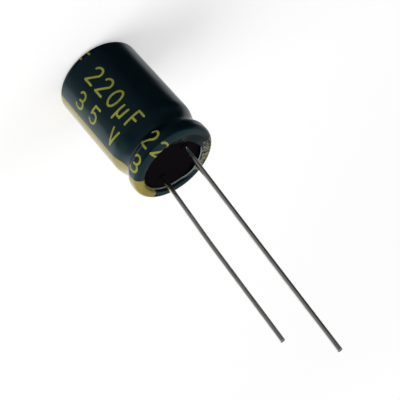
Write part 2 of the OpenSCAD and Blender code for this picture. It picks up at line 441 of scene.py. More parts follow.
class NodeSheet:
    """Adds nodes to one tree and links them.

    Attributes:
        mix_inputs: Numbers of a Mix node's inputs for the share and both colours.
        mix_colour: Number of its output for the colour.
    """

    mix_inputs = (0, 6, 7)
    mix_colour = 2

    def __init__(self, tree: bpy.types.NodeTree) -> None:
        """Takes the tree to which the nodes go."""
        self.tree = tree

    def put(self, socket: bpy.types.NodeSocket, value: object) -> None:
        """Sets an input to a number or a colour, or links another node's socket to it.

        Args:
            socket: The input.
            value: The number, the colour or the other node's socket.
        """
        if isinstance(value, bpy.types.NodeSocket):
            self.tree.links.new(value, socket)
        else:
            socket.default_value = value

    def add(self, kind: str, **settings: object) -> bpy.types.Node:
        """Adds a node.

        Args:
            kind: Blender's name of the node's type.
            **settings: Attributes of the node.

        Returns:
            The node.
        """
        node = self.tree.nodes.new(kind)
        for name, value in settings.items():
            setattr(node, name, value)
        return node

    def feed(self, node: bpy.types.Node, **inputs: object) -> bpy.types.Node:
        """Sets or links a node's inputs by name, with _ for a space.

        Args:
            node: The node.
            **inputs: A number, a colour or the socket to link, for each input.

        Returns:
            The same node.
        """
        for name, value in inputs.items():
            self.put(node.inputs[name.replace("_", " ")], value)
        return node

    def sum(self, operation: str, first: object, second: object = 0.0) -> bpy.types.NodeSocket:
        """Works out one step of arithmetic.

        Args:
            operation: Name of the Math node's operation.
            first: A number or a socket.
            second: A number or a socket.

        Returns:
            The socket with the result.
        """
        node = self.add("ShaderNodeMath", operation=operation)
        for socket, value in zip(node.inputs, (first, second)):
            self.put(socket, value)
        return node.outputs[0]

    def spread(self, value: bpy.types.NodeSocket, source: Flat, target: Flat) -> bpy.types.NodeSocket:
        """Carries a value from one range to another, with soft ends.

        Args:
            value: The socket with the value.
            source: The range that it comes from.
            target: The range that it goes to.

        Returns:
            The socket with the result.
        """
        node = self.add("ShaderNodeMapRange", interpolation_type="SMOOTHSTEP")
        self.feed(node, Value=value, From_Min=source[0], From_Max=source[1])
        self.feed(node, To_Min=target[0], To_Max=target[1])
        return node.outputs[0]

    def blend(self, share: object, first: object, second: object) -> bpy.types.NodeSocket:
        """Mixes two colours.

        Args:
            share: Share of the second colour.
            first: A colour or a socket.
            second: A colour or a socket.

        Returns:
            The socket with the colour.
        """
        node = self.add("ShaderNodeMix", data_type="RGBA")
        for number, value in zip(self.mix_inputs, (share, first, second)):
            self.put(node.inputs[number], value)
        return node.outputs[self.mix_colour]

    def noise(self, stretch: Place, detail: float, roughness: float = 0.55) -> bpy.types.NodeSocket:
        """Adds noise that is fixed to the object.

        Args:
            stretch: Waves for each millimetre, along X, Y and Z.
            detail: Number of finer layers.
            roughness: Strength of the finer layers.

        Returns:
            The socket with the noise, from 0 to 1.
        """
        place = self.add("ShaderNodeTexCoord").outputs["Object"]
        scaled = self.add("ShaderNodeMapping", vector_type="POINT")
        self.feed(scaled, Vector=place, Scale=tuple(s / MM for s in stretch))
        node = self.add("ShaderNodeTexNoise")
        self.feed(node, Vector=scaled.outputs[0], Scale=1.0, Detail=detail, Roughness=roughness)
        return node.outputs["Fac"]


class Effect(Enum):
    """Effects over a surface that several finishes share."""

    FILM_WEAR = "film_wear"
    METAL_GRAIN = "metal_grain"
    SOFT_GRAIN = "soft_grain"


class EffectShelf:
    """Builds each effect once, as a node group, and hands it out."""

    made: dict[Effect, bpy.types.NodeTree] = {}

    @classmethod
    def get(cls, effect: Effect) -> bpy.types.NodeTree:
        """Gives the node group of an effect."""
        if effect not in cls.made:
            builders = {
                Effect.FILM_WEAR: cls._film_wear,
                Effect.METAL_GRAIN: cls._metal_grain,
                Effect.SOFT_GRAIN: cls._soft_grain,
            }
            cls.made[effect] = cls._group(effect.value, builders[effect])
        return cls.made[effect]

    @staticmethod
    def _group(name: str, fill: Callable[[NodeSheet], tuple]) -> bpy.types.NodeTree:
        """Makes a group with the inputs and outputs that all effects have.

        Args:
            name: The group's name.
            fill: Adds the noises and returns the colour's, roughness's and height's sockets, 0 to 1.

        Returns:
            The group.
        """
        tree = bpy.data.node_groups.new(name, "ShaderNodeTree")
        for way, label, kind in (
            ("INPUT", "Colour", "NodeSocketColor"),
            ("INPUT", "Shade", "NodeSocketColor"),
            ("INPUT", "Smooth", "NodeSocketFloat"),
            ("INPUT", "Rough", "NodeSocketFloat"),
            ("OUTPUT", "Colour", "NodeSocketColor"),
            ("OUTPUT", "Roughness", "NodeSocketFloat"),
            ("OUTPUT", "Height", "NodeSocketFloat"),
        ):
            tree.interface.new_socket(label, in_out=way, socket_type=kind)
        sheet = NodeSheet(tree)
        given = sheet.add("NodeGroupInput")
        tint, dull, height = fill(sheet)
        colour = sheet.blend(tint, given.outputs["Colour"], given.outputs["Shade"])
        wide = sheet.sum("SUBTRACT", given.outputs["Rough"], given.outputs["Smooth"])
        roughness = sheet.sum("ADD", given.outputs["Smooth"], sheet.sum("MULTIPLY", wide, dull))
        sheet.feed(sheet.add("NodeGroupOutput"), Colour=colour, Roughness=roughness, Height=height)
        return tree

    @staticmethod
    def _film_wear(sheet: NodeSheet) -> tuple:
        """Adds soft waves, handling haze and fine scratches, as on shrunk film."""
        waves = sheet.noise((0.55, 0.55, 0.3), 1.0)
        haze = sheet.spread(sheet.noise((0.8, 0.8, 0.8), 4.0), (0.42, 0.7), (0.0, 1.0))
        scratch = sheet.spread(sheet.noise((14.0, 14.0, 1.1), 3.0), (0.62, 0.74), (0.0, 1.0))
        dull = sheet.sum("ADD", sheet.sum("MULTIPLY", haze, 0.7), sheet.sum("MULTIPLY", scratch, 0.3))
        height = sheet.sum("SUBTRACT", waves, sheet.sum("MULTIPLY", scratch, 0.004))
        return haze, dull, height

    @staticmethod
    def _metal_grain(sheet: NodeSheet) -> tuple:
        """Adds fine lines along the height, as from drawing, and a faint cloudiness."""
        lines = sheet.noise((22.0, 22.0, 0.5), 3.0, 0.7)
        cloud = sheet.spread(sheet.noise((1.6, 1.6, 0.7), 3.0), (0.35, 0.7), (0.0, 1.0))
        tint = sheet.sum("ADD", sheet.sum("MULTIPLY", cloud, 0.6), sheet.sum("MULTIPLY", lines, 0.4))
        return tint, sheet.spread(lines, (0.3, 0.7), (0.0, 1.0)), lines

    @staticmethod
    def _soft_grain(sheet: NodeSheet) -> tuple:
        """Adds the fine, even grain of rubber or paper."""
        fine = sheet.noise((9.0, 9.0, 9.0), 5.0, 0.65)
        cloud = sheet.noise((1.2, 1.2, 1.2), 3.0)
        return cloud, sheet.spread(fine, (0.3, 0.7), (0.0, 1.0)), fine


# Finishes


@dataclass(frozen=True)
class Finish:
    """One finish of the part, as a procedural material.

    Attributes:
        name: The material's name.
        slot: The record's material slot.
        colour: Main colour, as linear values.
        shade: Colour of the cloudy places.
        smooth: Roughness where it is smoothest.
        rough: Roughness where it is dullest.
        effect: The effect that varies it.
        metallic: Whether it is bare metal.
        specular: Level of the gloss on what isn't metal.
        gloss_tint: Tint of the gloss, but for glancing views.
        relief: Depth of the grain or waves, in millimetres.
    """

    name: str
    slot: str
    colour: Colour
    shade: Colour
    smooth: float
    rough: float
    effect: Effect
    metallic: bool = False
    specular: float = 0.5
    gloss_tint: Colour = (1.0, 1.0, 1.0)
    relief: float = 0.001

    def material(self) -> bpy.types.Material:
        """Gives the finish's material, made the first time that it is asked for."""
        known = bpy.data.materials.get(self.name)
        if known is not None:
            return known
        made = bpy.data.materials.new(self.name)
        made.use_nodes = True
        made.node_tree.nodes.clear()
        sheet = NodeSheet(made.node_tree)
        effect = sheet.add("ShaderNodeGroup", node_tree=EffectShelf.get(self.effect))
        sheet.feed(effect, Colour=(*self.colour, 1.0), Shade=(*self.shade, 1.0))
        sheet.feed(effect, Smooth=self.smooth, Rough=self.rough)
        bump = sheet.feed(sheet.add("ShaderNodeBump"), Strength=1.0, Distance=self.relief * MM)
        sheet.feed(bump, Height=effect.outputs["Height"])
        shader = sheet.add("ShaderNodeBsdfPrincipled")
        sheet.feed(shader, Base_Color=effect.outputs["Colour"], Roughness=effect.outputs["Roughness"])
        sheet.feed(shader, Normal=bump.outputs[0], Metallic=float(self.metallic))
        shader.inputs["Specular IOR Level"].default_value = self.specular
        shader.inputs["Specular Tint"].default_value = (*self.gloss_tint, 1.0)
        shader.inputs["IOR"].default_value = 1.5
        sheet.feed(sheet.add("ShaderNodeOutputMaterial"), Surface=shader.outputs[0])
        return made

    def dress(self, node: str) -> None:
        """Puts the finish on a CAD node.

        Args:
            node: The node's name.
        """
        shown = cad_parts[node]
        if not shown.material_slots:
            shown.data.materials.append(None)
        for place in shown.material_slots:
            place.material = self.material()
        LOG.info("%s: dressed as %s", node, self.name)


FILM = Finish("shrink_film", "sleeve_film", (0.0002, 0.0040, 0.0070), (0.0005, 0.0052, 0.0084),
              0.11, 0.2, Effect.FILM_WEAR, gloss_tint=(0.52, 1.0, 1.12), relief=0.05)
# Pale colour of the film's cut edge: partly the whitish cut film, partly a painted highlight for the
# glint along the edge.
FILM_CUT_AND_GLINT = Finish("cut_film_edge_and_glint", "sleeve_film", (0.5, 0.53, 0.53), (0.4, 0.43, 0.43),
                  0.3, 0.45, Effect.SOFT_GRAIN, relief=0.002)
STRIPE_INK = Finish("stripe_ink", "sleeve_film", (0.34, 0.28, 0.045), (0.30, 0.245, 0.035),
                    0.14, 0.22, Effect.FILM_WEAR, gloss_tint=(1.0, 0.98, 0.7), relief=0.05)
LETTER_INK = Finish("letter_ink", "sleeve_film", (0.31, 0.325, 0.045), (0.23, 0.24, 0.03),
                    0.14, 0.22, Effect.FILM_WEAR, gloss_tint=(1.0, 1.0, 0.7), relief=0.05)
FADED_INK = Finish("faded_ink", "sleeve_film", (0.27, 0.26, 0.15), (0.15, 0.145, 0.09),
                   0.18, 0.3, Effect.FILM_WEAR, relief=0.05)
CAN_METAL = Finish("drawn_aluminium", "can_metal", (0.8, 0.81, 0.83), (0.7, 0.71, 0.73),
                   0.25, 0.42, Effect.METAL_GRAIN, metallic=True)
WIRE_METAL = Finish("drawn_tinned_wire", "tinned_wire", (0.80, 0.79, 0.77), (0.62, 0.61, 0.59),
                    0.12, 0.2, Effect.METAL_GRAIN, metallic=True, relief=0.0004)
WIRE_CUT = Finish("cut_wire_end", "tinned_wire", (0.42, 0.40, 0.38), (0.3, 0.28, 0.26),
                  0.35, 0.5, Effect.SOFT_GRAIN, metallic=True, relief=0.004)
RUBBER = Finish("moulded_rubber", "bung_rubber", (0.0022, 0.0009, 0.0020), (0.0034, 0.0018, 0.0034),
                0.5, 0.7, Effect.SOFT_GRAIN, specular=0.04, relief=0.004)
TAB_METAL = Finish("pressed_aluminium", "tab_metal", (0.72, 0.73, 0.75), (0.62, 0.63, 0.65),
                   0.3, 0.45, Effect.METAL_GRAIN, metallic=True)
ANODE_METAL = Finish("formed_foil", "anode_metal", (0.5, 0.51, 0.52), (0.42, 0.43, 0.44),
                     0.5, 0.65, Effect.SOFT_GRAIN, metallic=True)
CATHODE_METAL = Finish("etched_foil", "cathode_metal", (0.75, 0.76, 0.77), (0.66, 0.67, 0.68),
                       0.4, 0.55, Effect.SOFT_GRAIN, metallic=True)
PAPER = Finish("soaked_paper", "separator_paper", (0.8, 0.72, 0.55), (0.72, 0.63, 0.46),
               0.55, 0.75, Effect.SOFT_GRAIN, relief=0.006)
TAPE = Finish("amber_tape", "tape_film", (0.82, 0.66, 0.3), (0.76, 0.58, 0.24),
              0.3, 0.42, Effect.FILM_WEAR, relief=0.01)


# Sleeve


@dataclass
class ShrinkSleeve:
    """The printed, shrunk film round the can."""

    outline: SkinOutline
    film_t: float = 0.14
    bead_depth: float = 0.39
    around: int = 192

    def below(self, inset: float) -> list[Flat]:
        """Draws one surface of the film, from the closed end's hole to the top of the rim.

        Args:
            inset: Depth under the film's outside.

        Returns:
            Radius and height of each point.
        """
        line = self.outline
        return [
            (line.end_hole_r, inset),
            *line.corner(inset, inset, line.end_r - inset),
            *line.wall(*line.straight, inset, self.bead_depth),
            *line.rim(inset),
        ]

    def build(self) -> None:
        """Makes the sleeve, in place of the CAD one, whose faces are coarser."""
        draft = MeshDraft()
        rows: list[list[int]] = []
        for i in range(self.around):
            azimuth = 360 * i / self.around
            turn = math.radians(azimuth)
            outside, inside = (
                self.below(inset) + self.outline.fold(azimuth, inset) for inset in (0.0, self.film_t)
            )
            rows.append(draft.add_points(
                (r * math.cos(turn), r * math.sin(turn), z) for r, z in outside + inside[::-1]
            ))
        count = len(rows[0])
        # Both cut edges of the film take the pale cut finish, which is partly a painted highlight.
        cuts = (count // 2 - 1, count - 1)
        for here, there in zip(rows, rows[1:] + rows[:1]):
            for i in range(count):
                j = (i + 1) % count
                draft.add_face((here[i], there[i], there[j], here[j]), int(i in cuts))
        piece = draft.build("shrink_sleeve", (FILM, FILM_CUT_AND_GLINT), Facing.EDGED)
        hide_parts("sleeve")


@dataclass(frozen=True)
class Section:
    """The film's outside at one azimuth, with the length along it at each of its points."""

    azimuth: float
    path: list[Flat]
    length: list[float]

    def place(self, along: float, lift: float) -> Vector:
        """Gives the place at a length along the film and a height over its surface."""
        i = min(max(bisect_left(self.length, along), 1), len(self.length) - 1)
        span = self.length[i] - self.length[i - 1]
        share = (along - self.length[i - 1]) / span
        (r0, z0), (r1, z1) = self.path[i - 1], self.path[i]
        r = r0 + share * (r1 - r0) + lift * (z1 - z0) / span
        z = z0 + share * (z1 - z0) - lift * (r1 - r0) / span
        turn = math.radians(self.azimuth)
        return Vector((r * math.cos(turn), r * math.sin(turn), z))


@dataclass
class FilmMap:
    """Places print on the sleeve's outside by length along the can and by azimuth.

    Length equals height on the straight wall. Past it, it follows the film.
    """

    sleeve: ShrinkSleeve
    top: float = 0.0
    sections: list[Section] = field(default_factory=list)

    def __post_init__(self) -> None:
        """Measures the film's path at each of the sleeve's columns."""
        line = self.sleeve.outline
        below = self.sleeve.below(0.0)
        for i in range(self.sleeve.around):
            azimuth = 360 * i / self.sleeve.around
            path = below + line.fold(azimuth, 0.0)
            length = [0.0, *accumulate(math.dist(here, there) for here, there in zip(path, path[1:]))]
            start = length[1 + line.corner_steps] - line.end_r
            self.sections.append(Section(azimuth, path, [s - start for s in length]))
        self.top = self.sections[0].length[len(below) - 1]

    def _beside(self, azimuth: float) -> tuple[Section, Section, float]:
        """Finds the sections on both sides of an azimuth, and its share of the way between them."""
        count = len(self.sections)
        column = azimuth % 360 / 360 * count
        low = int(column) % count
        return self.sections[low], self.sections[(low + 1) % count], column - int(column)

    def lengths(self, azimuth: float) -> list[float]:
        """Gives the length along the film at each of its bends, up to its edge over the bung.

        Args:
            azimuth: Direction round the can, in degrees.

        Returns:
            The lengths, as many at each azimuth.
        """
        here, there, share = self._beside(azimuth)
        return [s0 + share * (s1 - s0) for s0, s1 in zip(here.length, there.length)]

    def place(self, along: float, azimuth: float, lift: float) -> Place:
        """Gives a place on the film.

        Args:
            along: Length along the film.
            azimuth: Direction round the can, in degrees.
            lift: Height over the film's surface.

        Returns:
            X, Y and Z.
        """
        here, there, share = self._beside(azimuth)
        return tuple(here.place(along, lift).lerp(there.place(along, lift), share))


class Letter(Enum):
    """Strokes of the printed letters, in a cell one wide and one high."""

    TWO = (
        arc((0.5, 0.73), (0.42, 0.27), 165, -28) + [(0.06, 0.0)],
        [(0.06, 0.0), (0.95, 0.0)],
    )
    THREE = (
        arc((0.47, 0.745), (0.37, 0.255), 150, -90) + [(0.34, 0.49)],
        arc((0.47, 0.265), (0.45, 0.265), 78, -155),
    )
    FIVE = (
        [(0.88, 1.0), (0.2, 1.0)],
        [(0.2, 1.0), (0.12, 0.52)],
        arc((0.47, 0.32), (0.44, 0.32), 140, -150),
    )
    ZERO = (arc((0.5, 0.5), (0.45, 0.5), 0, 360, 36),)
    MICRO = (
        [(0.1, 0.62), (0.0, -0.28)],
        arc((0.47, 0.22), (0.38, 0.22), 185, 320),
        [(0.9, 0.62), (0.8, 0.0)],
    )
    FARAD = (
        [(0.08, 0.0), (0.08, 1.0)],
        [(0.08, 1.0), (0.92, 1.0)],
        [(0.08, 0.52), (0.74, 0.52)],
    )
    VOLT = (
        [(0.05, 1.0), (0.45, 0.0)],
        [(0.45, 0.0), (0.95, 1.0)],
    )


@dataclass(frozen=True)
class PrintLine:
    """One line of print, which reads along the can towards the wires.

    Attributes:
        letters: Its letters.
        middles: Length along the film at each letter's middle.
        widths: Width of each letter.
        base_az: Azimuth of the line on which the letters stand.
        height: Height of the capitals.
    """

    letters: tuple[Letter, ...]
    middles: tuple[float, ...]
    widths: tuple[float, ...]
    base_az: float
    height: float


CAPACITANCE = PrintLine(
    (Letter.TWO, Letter.TWO, Letter.ZERO, Letter.MICRO, Letter.FARAD),
    (2.75, 4.35, 6.0, 7.5, 8.95), (1.05, 1.05, 1.05, 0.8, 0.8), 79.4, 1.72,
)
VOLTAGE = PrintLine(
    (Letter.THREE, Letter.FIVE, Letter.VOLT),
    (3.2, 5.3, 8.3), (1.05, 1.0, 0.85), 115.1, 1.66,
)


@dataclass
class SleevePrint:
    """The stripe, the ratings and the worn flecks on the sleeve.

    A gap is film left bare at the cut edge. A letter that starts within the range
    in shown, from the closed end and from the rim's top, is drawn. A fleck starts
    within the range in fleck_along, from the rim's top.
    """

    film: FilmMap
    ink_t: float = 0.003
    layer_lift: float = 0.15
    stripe_az: Flat = (125.8, 181.1)
    stripe_columns: int = 48
    stripe_start: int = 4
    stripe_gap: float = 0.01
    stroke_w: float = 0.215
    stroke_gap: float = 0.012
    step: float = 0.05
    strips: int = 5
    cap_steps: int = 4
    repeat: float = 8.72
    shown: Flat = (-0.2, 1.0)
    rear_turn: float = -168.0
    fleck_seed: int = 11
    fleck_count: int = 230
    fleck_az: Flat = (-96.0, -30.0)
    fleck_along: Flat = (-1.0, 0.45)
    fleck_reach: Flat = (0.04, 0.26)
    fleck_w: Flat = (0.04, 0.15)
    fleck_layers: int = 8

    def build(self) -> None:
        """Makes the stripe, the ratings on both sides and the flecks on the rim."""
        self._stripe()
        self._ratings("front_ratings", 0.0, (-1, 0, 1))
        self._ratings("rear_ratings", self.rear_turn, (0,))
        self._flecks()

    def _stripe(self) -> None:
        """Makes the pale stripe on the negative wire's side."""
        draft = MeshDraft()
        first, last = self.stripe_az
        rows = []
        for i in range(self.stripe_columns + 1):
            azimuth = first + (last - first) * i / self.stripe_columns
            lengths = self.film.lengths(azimuth)
            edge = lengths[-1] - self.stripe_gap
            rows.append(draft.add_points(
                self.film.place(min(s, edge), azimuth, self.ink_t) for s in lengths[self.stripe_start:]
            ))
        for here, there in zip(rows, rows[1:]):
            draft.bridge(here, there, closed=False)
        draft.faces = [face[::-1] for face in draft.faces]
        draft.build("negative_stripe", (STRIPE_INK,), Facing.ROUNDED)

    def _ratings(self, name: str, turn: float, copies: Sequence[int]) -> None:
        """Makes copies of both lines of print, as far as there is film.

        Args:
            name: The piece's name.
            turn: Azimuth by which the print is turned round the can.
            copies: Number of repeats by which each copy is moved along the film.
        """
        draft = MeshDraft()
        low, high = self.shown
        for line in (CAPACITANCE, VOLTAGE):
            for copy in copies:
                for letter, middle, width in zip(line.letters, line.middles, line.widths):
                    start = middle - width / 2 + copy * self.repeat
                    if not low < start < self.film.top + high:
                        continue
                    for layer, stroke in enumerate(letter.value):
                        points = [(start + x * width, y * line.height) for x, y in stroke]
                        self._stroke(draft, points, self.stroke_w, line.base_az + turn, layer)
        draft.build(name, (LETTER_INK,), Facing.ROUNDED)

    def _stroke(self, draft: MeshDraft, points: Sequence[Flat], width: float,
                base_az: float, layer: int) -> None:
        """Draws one stroke with round ends, as far as there is film.

        Args:
            draft: The mesh to which it goes.
            points: Its middle line, as length along the film and height over the base.
            width: Its width.
            base_az: Azimuth of height 0.
            layer: Number of the stroke, which lies over the ones before it.
        """
        body_r = self.film.sleeve.outline.body_r
        lift = self.ink_t * (1 + self.layer_lift * layer)
        rows: list[list[Flat]] = []
        middle = self._even(points)
        last = len(middle) - 1
        for i, spot in enumerate(middle):
            along = Vector(middle[min(i + 1, last)]) - Vector(middle[max(i - 1, 0)])
            along.normalize()
            side = Vector((-along.y, along.x))
            if i == 0:
                rows.extend(self._cap(spot, along, side, width, -1))
            rows.append(self._across(Vector(spot), side * width / 2))
            if i == last:
                rows.extend(self._cap(spot, along, side, width, 1))
        numbers = []
        for row in rows:
            places = [(s, base_az - math.degrees(h / body_r)) for s, h in row]
            edges = [self.film.lengths(az)[-1] - self.stroke_gap for _, az in places]
            kept = [s < edge for (s, _), edge in zip(places, edges)]
            numbers.append((kept, draft.add_points(
                self.film.place(min(s, edge), az, lift) for (s, az), edge in zip(places, edges)
            )))
        for (kept, low), (kept_next, high) in zip(numbers, numbers[1:]):
            for j in range(self.strips):
                if any(kept[j:j + 2]) or any(kept_next[j:j + 2]):
                    draft.add_face((low[j + 1], high[j + 1], high[j], low[j]))

    def _across(self, spot: Vector, half: Vector) -> list[Flat]:
        """Sets points across a stroke, close enough to follow the film's bends.

        Args:
            spot: Middle of the stroke.
            half: From the middle to the stroke's side.

        Returns:
            The points, from one side to the other.
        """
        return [tuple(spot + half * (2 * j / self.strips - 1)) for j in range(self.strips + 1)]

    def _even(self, points: Sequence[Flat]) -> list[Flat]:
        """Sets points along a line at even, short steps.

        Args:
            points: The line's corners.

        Returns:
            The points.
        """
        made = [points[0]]
        for start, stop in zip(points, points[1:]):
            count = max(1, round(math.dist(start, stop) / self.step))
            made.extend(
                (start[0] + (stop[0] - start[0]) * i / count, start[1] + (stop[1] - start[1]) * i / count)
                for i in range(1, count + 1)
            )
        return made

    def _cap(self, spot: Flat, along: Vector, side: Vector, width: float, sign: int) -> list[list[Flat]]:
        """Draws the round end of a stroke.

        Args:
            spot: End of the middle line.
            along: Direction of the stroke there.
            side: Direction across it.
            width: Width of the stroke.
            sign: 1 at the stroke's end and -1 at its start.

        Returns:
            Its rows of points, in the stroke's direction.
        """
        rows = []
        for k in range(1, self.cap_steps + 1):
            angle = math.pi / 2 * k / self.cap_steps
            out = Vector(spot) + along * (sign * width / 2 * math.sin(angle))
            half = side * (width / 2 * math.cos(angle))
            rows.append(self._across(out, half))
        return rows if sign > 0 else rows[::-1]

    def _flecks(self) -> None:
        """Makes the worn flecks of ink on the rim."""
        draft = MeshDraft()
        chance = random.Random(self.fleck_seed)
        low, high = (self.film.top + along for along in self.fleck_along)
        for i in range(self.fleck_count):
            azimuth = chance.uniform(*self.fleck_az)
            start = chance.uniform(low, high)
            lean = chance.uniform(0, math.pi)
            reach = chance.uniform(*self.fleck_reach)
            points = [(start, 0.0), (start + reach * math.cos(lean), reach * math.sin(lean))]
            self._stroke(draft, points, chance.uniform(*self.fleck_w), azimuth, i % self.fleck_layers)
        draft.build("worn_ink_flecks", (FADED_INK,), Facing.ROUNDED)


# Can


@dataclass
class DrawnCan:
    """The beaded can, with the scored vent in its closed end and its rim under the sleeve's fold."""

    outline: SkinOutline
    inset: float = 0.15
    wall_t: float = 0.25
    floor_t: float = 0.3
    floor_round: float = 0.13
    bead_depth: float = 0.45
    vent_len: float = 5.0
    vent_w: float = 0.25
    vent_depth: float = 0.12
    vent_turn: float = 45.0
    around: int = 128

    def build(self) -> None:
        """Makes the can, in place of the CAD one, whose faces are coarser."""
        draft = MeshDraft()
        line = self.outline
        inner = self.inset + self.wall_t
        floor = self.inset + self.floor_t
        low, high = line.straight
        outside = [
            *line.corner(self.inset, self.inset, line.end_r - self.inset),
            *line.wall(low, high, self.inset, self.bead_depth),
            *line.rim(self.inset),
        ]
        inside = [
            *line.corner(inner, floor, self.floor_round),
            *line.wall(floor + self.floor_round + line.join, high, inner, self.bead_depth),
            *line.rim(inner),
        ]
        draft.lathe(outside + inside[::-1], self.around)
        vent = self._vent()
        draft.plate([flat_ring(outside[0][0], 0.0, self.around), vent], self.inset, False)
        draft.plate([flat_ring(inside[0][0], 0.0, self.around)], floor, True)
        ceiling = self.inset + self.vent_depth
        rings = [draft.add_points((x, y, z) for x, y in vent) for z in (self.inset, ceiling)]
        draft.bridge(rings[1], rings[0])
        draft.plate([vent], ceiling, False)
        piece = draft.build("drawn_can", (CAN_METAL,), Facing.EDGED)
        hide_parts("can")

    def _vent(self) -> list[Flat]:
        """Draws the outline of the vent's two crossed lines."""
        reach, half = self.vent_len / 2, self.vent_w / 2
        made = []
        for arm in range(4):
            turn = Matrix.Rotation(math.radians(self.vent_turn + 90 * arm), 2)
            made += [tuple(turn @ Vector(spot)) for spot in ((reach, -half), (reach, half), (half, half))]
        return made


# Bung


@dataclass
class RubberBung:
    """The bung in the can's mouth, with its stepped bores and dished mouths.

    Halfway down its dish, a mouth has the shares in mouth_mid of its width and depth.
    """

    outline: SkinOutline
    inset: float = 0.42
    bead_depth: float = 0.45
    low: float = 9.45
    top: float = 12.2
    chamfer: float = 0.15
    shoulder: float = 0.28
    pitch: float = 3.5
    bore_r: float = 0.235
    hole_r: float = 0.56
    weld_z: float = 11.6
    weld_h: float = 0.25
    fit: float = 0.01
    mouth: float = 0.1
    mouth_mid: Flat = (1 / 3, 0.55)
    around: int = 128
    bore_around: int = 48

    def build(self) -> None:
        """Makes the bung, in place of the CAD one, whose bores are coarser."""
        draft = MeshDraft()
        low_r = self.outline.wall_r(self.low, self.inset, self.bead_depth) - self.chamfer
        side_z = self.top - self.shoulder
        top_r = self.outline.wall_r(side_z, self.inset, self.bead_depth) - self.shoulder
        wall = self.outline.wall(self.low + self.chamfer, side_z, self.inset, self.bead_depth)
        draft.lathe([(low_r, self.low), *wall, (top_r, self.top)], self.around)
        mouth_r = self.bore_r + self.mouth
        mid_w, mid_depth = self.mouth_mid
        bore = [
            (mouth_r, self.top),
            (self.bore_r + self.mouth * mid_w, self.top - self.mouth * mid_depth),
            (self.bore_r, self.top - self.mouth),
            (self.bore_r, self.weld_z + self.fit),
            (self.hole_r, self.weld_z - self.weld_h + self.fit),
            (self.hole_r, self.low),
        ]
        for side in (-1, 1):
            draft.lathe(bore, self.bore_around, side * self.pitch / 2)
        for height, outer, inner, upwards in (
            (self.low, low_r, self.hole_r, False),
            (self.top, top_r, mouth_r, True),
        ):
            rings = [flat_ring(outer, 0.0, self.around)]
            rings += [flat_ring(inner, side * self.pitch / 2, self.bore_around) for side in (-1, 1)]
            draft.plate(rings, height, upwards)
        piece = draft.build("moulded_bung", (RUBBER,), Facing.EDGED)
        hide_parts("bung")


# Wires


@dataclass
class LeadWire:
    """A tinned wire, from its weld in the bung to its cut end."""

    bung: RubberBung
    pole: Pole
    length: float
    lean: float
    back: float = 0.0
    back_at: float = 0.0
    radius: float = 0.225
    stub: float = 0.12
    bend_r: float = 0.9
    lean_az: float = 155.0
    burr: float = 0.03
    piece_len: float = 2.0
    bend_steps: int = 4
    around: int = 36

    def path(self) -> list[tuple[Vector, Vector]]:
        """Draws the wire's middle line.

        Returns:
            Each point with the wire's direction there.
        """
        bung = self.bung
        towards = Vector((math.cos(math.radians(self.lean_az)), math.sin(math.radians(self.lean_az)), 0))
        here = Vector((self.pole.value * bung.pitch / 2, 0, bung.weld_z))
        angle = 0.0
        made = [(here.copy(), Vector((0, 0, 1)))]
        stretches = [(bung.top + self.stub - bung.weld_z, self.lean)]
        if self.back:
            stretches += [(self.back_at - self.stub, -self.back), (self.length - self.back_at, 0.0)]
        else:
            stretches += [(self.length - self.stub, 0.0)]
        for run, bend in stretches:
            course = towards * math.sin(angle) + Vector((0, 0, math.cos(angle)))
            pieces = max(1, round(run / self.piece_len))
            for _ in range(pieces):
                here = here + course * (run / pieces)
                made.append((here.copy(), course.copy()))
            steps = self.bend_steps if bend else 0
            for _ in range(steps):
                step = math.radians(bend) / steps
                middle = angle + step / 2
                course = towards * math.sin(middle) + Vector((0, 0, math.cos(middle)))
                here = here + course * (self.bend_r * 2 * math.sin(abs(step) / 2))
                angle += step
                course = towards * math.sin(angle) + Vector((0, 0, math.cos(angle)))
                made.append((here.copy(), course))
        return made

    def build(self) -> None:
        """Makes the wire, in place of the CAD one, whose faces are coarser."""
        draft = MeshDraft()
        side = Vector((-math.sin(math.radians(self.lean_az)), math.cos(math.radians(self.lean_az)), 0))
        line = self.path()
        tip, course = line.pop()
        stations = [(spot, way, self.radius) for spot, way in line]
        stations += [(tip - course * self.burr, course, self.radius)]
        stations += [(tip - course * self.burr / 3, course, self.radius - self.burr / 3)]
        stations += [(tip, course, self.radius - self.burr)]
        rings = []
        for spot, way, radius in stations:
            other = way.cross(side)
            rings.append(draft.add_points(
                tuple(spot + other * x + side * y) for x, y in flat_ring(radius, 0.0, self.around)
            ))
        for low, high in zip(rings, rings[1:]):
            draft.bridge(high, low)
        draft.add_face(rings[0], 1)
        draft.add_face(rings[-1][::-1], 1)
        name = self.pole.name.lower()
        piece = draft.build(f"{name}_tinned_wire", (WIRE_METAL, WIRE_CUT), Facing.EDGED)
        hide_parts(f"{name}_wire")


# Inner pieces


@dataclass
class InnerPieces:
    """What is wound inside the can, which keeps its CAD shapes."""

    finishes: dict[str, Finish] = field(default_factory=lambda: {
        "positive_tab": TAB_METAL,
        "negative_tab": TAB_METAL,
        "anode_foil": ANODE_METAL,
        "cathode_foil": CATHODE_METAL,
        "inner_paper": PAPER,
        "outer_paper": PAPER,
        "closing_tape": TAPE,
    })

    def dress(self) -> None:
        """Puts each piece's finish on it."""
        for node, finish in self.finishes.items():
            finish.dress(node)


# Studio


